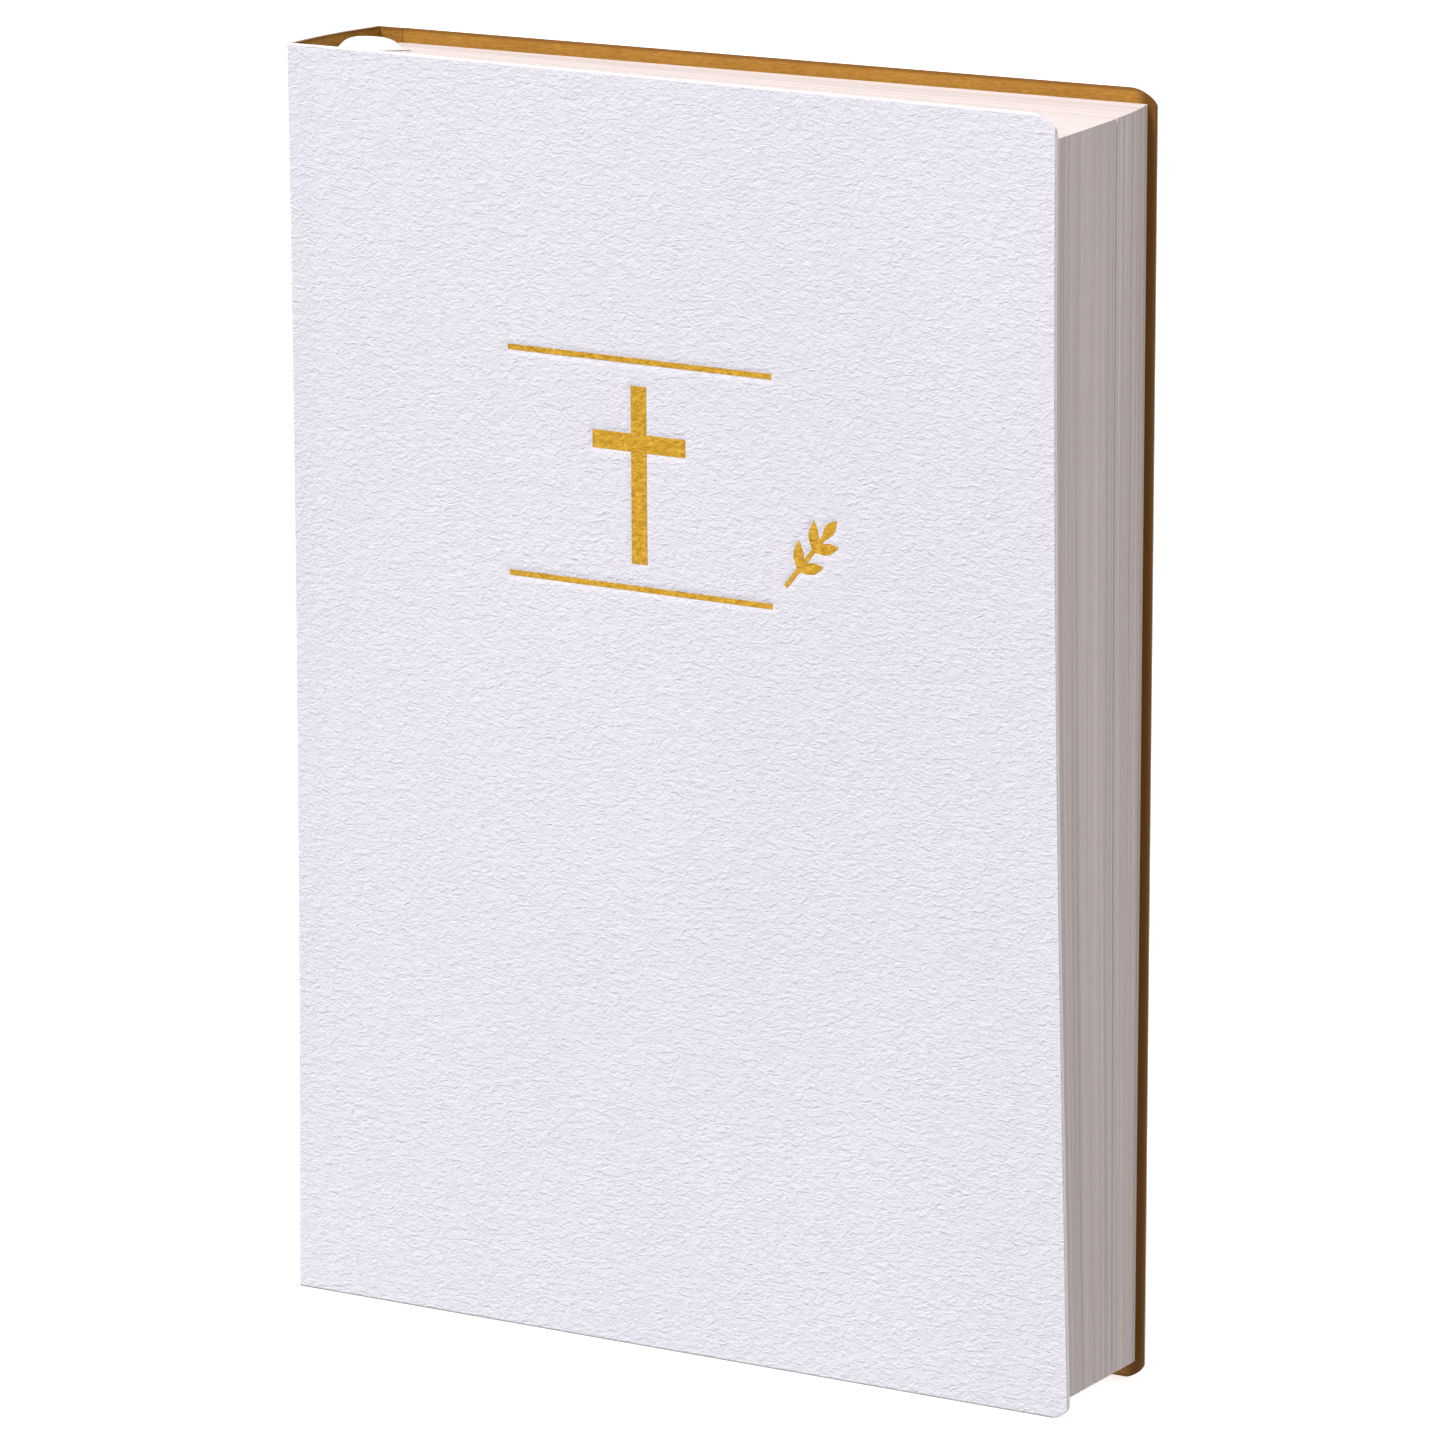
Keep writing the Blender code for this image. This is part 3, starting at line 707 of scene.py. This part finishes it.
def add_lining(material):
    """Mull over the backs of the sections, slightly puckered between them."""
    half = BLOCK_HALF - 0.25 * MM
    ys = np.linspace(-half, half, 60)
    ridges = 0.05 * MM * np.abs(np.sin(np.pi * ys / (1.98 * MM)))
    near = np.stack([block_back(ys) - 0.22 * MM - 0.05 * MM + ridges, ys], -1)
    far = near - [0.20 * MM, 0.0]
    layers = profile_layers(near, far, lines(6 * MM, 205 * MM, 5 * MM), 0.05 * MM)
    piece = layered_body("spine_mull", layers, [material])
    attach(piece, "spine")
    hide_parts("spine_lining")


# ---------------------------------------------------------------- endpapers and leaves

def leaf_layers(side, x_start, outer, thickness, ripple=0.0, seed=0, reach=BLOCK_REACH,
                columns=12, rows=30):
    """Two grids of a single leaf of paper."""
    xs = np.concatenate([np.linspace(x_start, x_start + GUTTER_BEND, 9)[:-1],
                         np.linspace(x_start + GUTTER_BEND, reach, columns)])
    zs = np.linspace(BLOCK_FOOT + 0.05 * MM, BLOCK_HEAD - 0.05 * MM, rows)
    x, z = np.meshgrid(xs, zs, indexing="ij")
    y = side * outer + np.zeros(x.shape)
    y += ripple * waves(stack(x, 0.0, z), 60 * MM, seed) * np.clip((x - x_start) / GUTTER_BEND, 0, 1)
    return [stack(x, y, z), stack(x, y - side * thickness, z)]


def add_endpapers(paper):
    for side, label in ((-1, "front"), (1, "back")):
        outer = CARD_INNER_Y - 0.03 * MM
        layers = leaf_layers(side, PASTEDOWN_START, outer, PAPER)
        pasted = layered_body(label + "_pastedown_sheet", layers, [paper])
        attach(pasted, label + "_cover")
        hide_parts(label + "_pastedown")
        outer = CARD_INNER_Y - 0.33 * MM
        reach = BLOCK_REACH + (0.1 * MM if side > 0 else 0.0)
        layers = leaf_layers(side, HINGE_X + 0.2 * MM, outer, PAPER, 0.05 * MM, 5, reach)
        free = layered_body(label + "_flyleaf_sheet", layers, [paper], page=True)
        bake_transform(free)
        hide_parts(label + "_flyleaf")


def page_groups():
    """(name, side, front y, rear y) of each group of sections as it looks, with no gaps between."""
    groups = []
    edges = {
        -1: (-BLOCK_HALF, PARTING_Y - PARTING_GAP / 2, FRONT_GROUPS),
        1: (PARTING_Y + PARTING_GAP / 2, BLOCK_HALF, REAR_GROUPS)}
    for side, (start, end, count) in edges.items():
        for index in range(count):
            low = start + (end - start) * index / count
            high = start + (end - start) * (index + 1) / count
            groups.append((f"pages_{len(groups) + 1:02d}", side, low, high))
    return groups


def add_pages(paper, edges):
    """Each group is a body whose edges step in and out from leaf to leaf."""
    random.seed(7)
    for name, side, low_y, high_y in page_groups():
        back = max(block_back(low_y), block_back(high_y))
        xs = np.concatenate([np.linspace(back, back + GUTTER_BEND, 10)[:-1],
                             np.linspace(back + GUTTER_BEND, BLOCK_REACH, 10)])
        zs = np.linspace(BLOCK_FOOT, BLOCK_HEAD, 30)
        layers = []
        for step in range(EDGE_STEPS):
            y = low_y + (high_y - low_y) * step / (EDGE_STEPS - 1)
            out = random.uniform(-0.07, 0.07) * MM
            up = random.uniform(-0.03, 0.03) * MM
            if step in (0, EDGE_STEPS - 1):
                out -= 0.05 * MM
                up -= 0.03 * MM
            x, z = np.meshgrid(xs, zs, indexing="ij")
            x = x + out * smooth((x - back) / (BLOCK_REACH - back))
            z = z + np.where(z > HEIGHT / 2, up, -up) * np.abs(z / HEIGHT - 0.5) * 2
            layers.append(stack(x, y, z))
        group = layered_body(
            name + "_leaves", layers, [paper, edges], page=True, rim_slot=1, flat_slots=(1,))
        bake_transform(group)
        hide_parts(name)


def add_loose_leaf(name, side, y, paper):
    """One thin leaf of paper at y, beside a page group or a flyleaf."""
    layers = leaf_layers(
        side, block_back(y) + 0.6 * MM, abs(y), LEAF_THICKNESS, reach=BLOCK_REACH - 0.1 * MM,
        columns=8, rows=10)
    layers = [stack(layer[..., 0], y + offset * LEAF_THICKNESS / 2 * side, layer[..., 2])
              for layer, offset in zip(layers, (1, -1))]
    leaf = layered_body(name, layers, [paper], page=True)
    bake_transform(leaf)


def add_loose_leaves(paper):
    """Leaves between the page groups and beside the flyleaves, which fill the opened fan."""
    groups = page_groups()
    for (name, side, _, high_y), (after, after_side, _, _) in zip(groups, groups[1:]):
        if side != after_side:
            continue
        for step in range(1, LEAVES_BETWEEN_GROUPS + 1):
            add_loose_leaf(f"leaf_{name[-2:]}_{step}", side, high_y, paper)
    for side, label, group in ((-1, "front", groups[0]), (1, "back", groups[-1])):
        for step in range(1, LEAVES_BY_FLYLEAF + 1):
            y = side * (BLOCK_HALF + 0.02 * MM * step)
            add_loose_leaf(f"leaf_{label}_{step}", side, y, paper)


# ---------------------------------------------------------------- ribbon marker

RIBBON_WIDTH = 7.0 * MM
RIBBON_THICKNESS = 0.22 * MM
RIBBON_DROOP_FAR = 1.2 * MM
RIBBON_DROOP_NEAR = 2.0 * MM
RIBBON_DROOP_FROM = 206.4 * MM
# (x, y, z, turn) in millimetres and degrees, as in the part: from the spine over the head and
# down between the pages. turn is how far its width has swung from across the spine.
RIBBON_ROUTE = (
    (1.70, 0.30, 170.00, 0.0), (1.70, 0.30, 190.00, 0.0), (1.70, 0.30, 204.50, 0.0),
    (1.70, 0.30, 206.30, 0.0), (1.90, 0.40, 208.80, 0.0), (2.45, 0.70, 209.30, 1.0),
    (3.30, 1.20, 209.50, 12.0), (4.40, 1.75, 209.60, 31.0), (5.60, 2.40, 209.60, 54.0),
    (6.80, 3.05, 209.60, 74.0), (7.90, 3.60, 209.50, 88.0), (8.70, 4.05, 209.30, 90.0),
    (9.25, 4.35, 208.80, 90.0), (9.40, 4.45, 207.75, 90.0), (9.45, 4.45, 206.30, 90.0),
    (9.75, 4.45, 190.00, 90.0), (10.30, 4.45, 120.00, 90.0), (10.80, 4.45, 60.00, 90.0),
    (11.00, 4.45, 22.00, 90.0),
)


def ribbon_line():
    """The route with its short steps made smooth: rows of x, y, z and turn, in metres and radians."""
    route = np.array(RIBBON_ROUTE) * [MM, MM, MM, math.pi / 180]
    rows = []
    for index in range(len(route) - 1):
        a, b = route[index], route[index + 1]
        steps = max(3, min(12, int(np.linalg.norm(b[:3] - a[:3]) / (0.4 * MM))))
        for step in range(steps):
            rows.append(a + (b - a) * step / steps)
    rows.append(route[-1])
    rows = np.array(rows)
    for _ in range(16):
        rows[1:-1] = (rows[:-2] + 2 * rows[1:-1] + rows[2:]) / 4
    return rows


def add_ribbon(material):
    rows = ribbon_line()
    centres = place(rows[:, :3])
    along = np.gradient(centres, axis=0)
    along /= np.linalg.norm(along, axis=1)[:, None]
    arched = smooth((rows[:, 2] - RIBBON_DROOP_FROM) / (1.2 * MM))
    rests_on = np.where(rows[:, 2] > BLOCK_HEAD, BLOCK_HEAD + 0.12 * MM, 0.0)
    across = np.stack([-np.sin(rows[:, 3]), np.cos(rows[:, 3]), np.zeros(len(rows))], -1)
    normal = np.cross(along, across)
    normal /= np.linalg.norm(normal, axis=1)[:, None]
    spread = np.linspace(-1, 1, 17)
    near, far = [], []
    for share in spread:
        selvedge = 0.5 + 0.5 * smooth((1 - abs(share)) / 0.12)
        middle = centres + across * share * RIBBON_WIDTH / 2
        middle[:, 2] -= (RIBBON_DROOP_FAR if share > 0 else RIBBON_DROOP_NEAR) * arched * share ** 2
        middle[:, 2] = np.maximum(middle[:, 2], rests_on)
        near.append(middle + normal * RIBBON_THICKNESS / 2 * selvedge)
        far.append(middle - normal * RIBBON_THICKNESS / 2 * selvedge)
    lengths = np.concatenate([[0], np.cumsum(np.linalg.norm(np.diff(centres, axis=0), axis=1))])
    book = np.array([[(share * RIBBON_WIDTH / 2, 0.0, length) for length in lengths] for share in spread])
    piece = layered_body("ribbon", [book, book + [0, RIBBON_THICKNESS, 0]], [material])
    placed = np.concatenate([np.array(near).reshape(-1, 3), np.array(far).reshape(-1, 3)])
    piece.data.vertices.foreach_set("co", placed.astype(np.float32).ravel())
    piece.data.update()
    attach(piece, "spine")
    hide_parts("ribbon_marker")


# ---------------------------------------------------------------- camera, light, floor

def add_stage():
    scene = bpy.context.scene
    scene.view_settings.view_transform = "Standard"
    camera = bpy.data.objects.new("camera", bpy.data.cameras.new("camera"))
    scene.collection.objects.link(camera)
    azimuth, elevation = math.radians(CAMERA_AZIMUTH), math.radians(CAMERA_ELEVATION)
    forward = Vector((
        -math.sin(azimuth) * math.cos(elevation), math.cos(azimuth) * math.cos(elevation),
        -math.sin(elevation)))
    camera.location = CAMERA_PLACE
    camera.rotation_mode = "QUATERNION"
    camera.rotation_quaternion = forward.to_track_quat("-Z", "Y")
    camera.data.lens = CAMERA_LENS
    camera.data.clip_start = 0.05
    scene.camera = camera

    world = bpy.data.worlds.new("studio")
    world.use_nodes = True
    sky = world.node_tree.nodes["Background"]
    sky.inputs["Color"].default_value = (1.0, 1.0, 1.0, 1.0)
    sky.inputs["Strength"].default_value = SKY_STRENGTH
    scene.world = world

    for name, direction, strength in (
            ("key", KEY_DIRECTION, KEY_STRENGTH), ("fill", FILL_DIRECTION, FILL_STRENGTH)):
        lamp = bpy.data.objects.new(name, bpy.data.lights.new(name, "SUN"))
        lamp.data.energy = strength
        lamp.data.angle = math.radians(LIGHT_SOFTNESS)
        lamp.rotation_mode = "QUATERNION"
        lamp.rotation_quaternion = Vector(direction).to_track_quat("Z", "Y")
        scene.collection.objects.link(lamp)

    mesh = bpy.data.meshes.new("floor")
    corners = [(-8, -8, 0), (8, -8, 0), (8, 8, 0), (-8, 8, 0)]
    mesh.from_pydata([(x, y, -0.05 * MM) for x, y, _ in corners], [], [(0, 1, 2, 3)])
    mesh.materials.append(floor_material())
    floor = bpy.data.objects.new("floor", mesh)
    floor.visible_diffuse = False
    scene.collection.objects.link(floor)


# ---------------------------------------------------------------- the whole scene


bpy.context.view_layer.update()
leatherette = leatherette_material()
card = card_material()
add_covers(leatherette, card)
add_spine(leatherette, card)
add_foil(foil_material())
add_lining(woven_material(
    "mull", (0.60, 0.57, 0.50), (0.84, 0.82, 0.76), (0.9 * MM, 0.9 * MM), 0.0002, 0.9))
add_endpapers(paper_material("endpaper", (0.865, 0.808, 0.695), (0.885, 0.832, 0.722)))
page = paper_material("page", (0.875, 0.845, 0.805), (0.895, 0.865, 0.825))
add_pages(page, edge_material())
add_loose_leaves(page)
add_ribbon(woven_material(
    "ribbon", (0.90, 0.90, 0.90), (0.97, 0.97, 0.97), (0.35 * MM, 0.25 * MM), 0.00003, 0.42,
    Sheen_Weight=0.3))
add_stage()
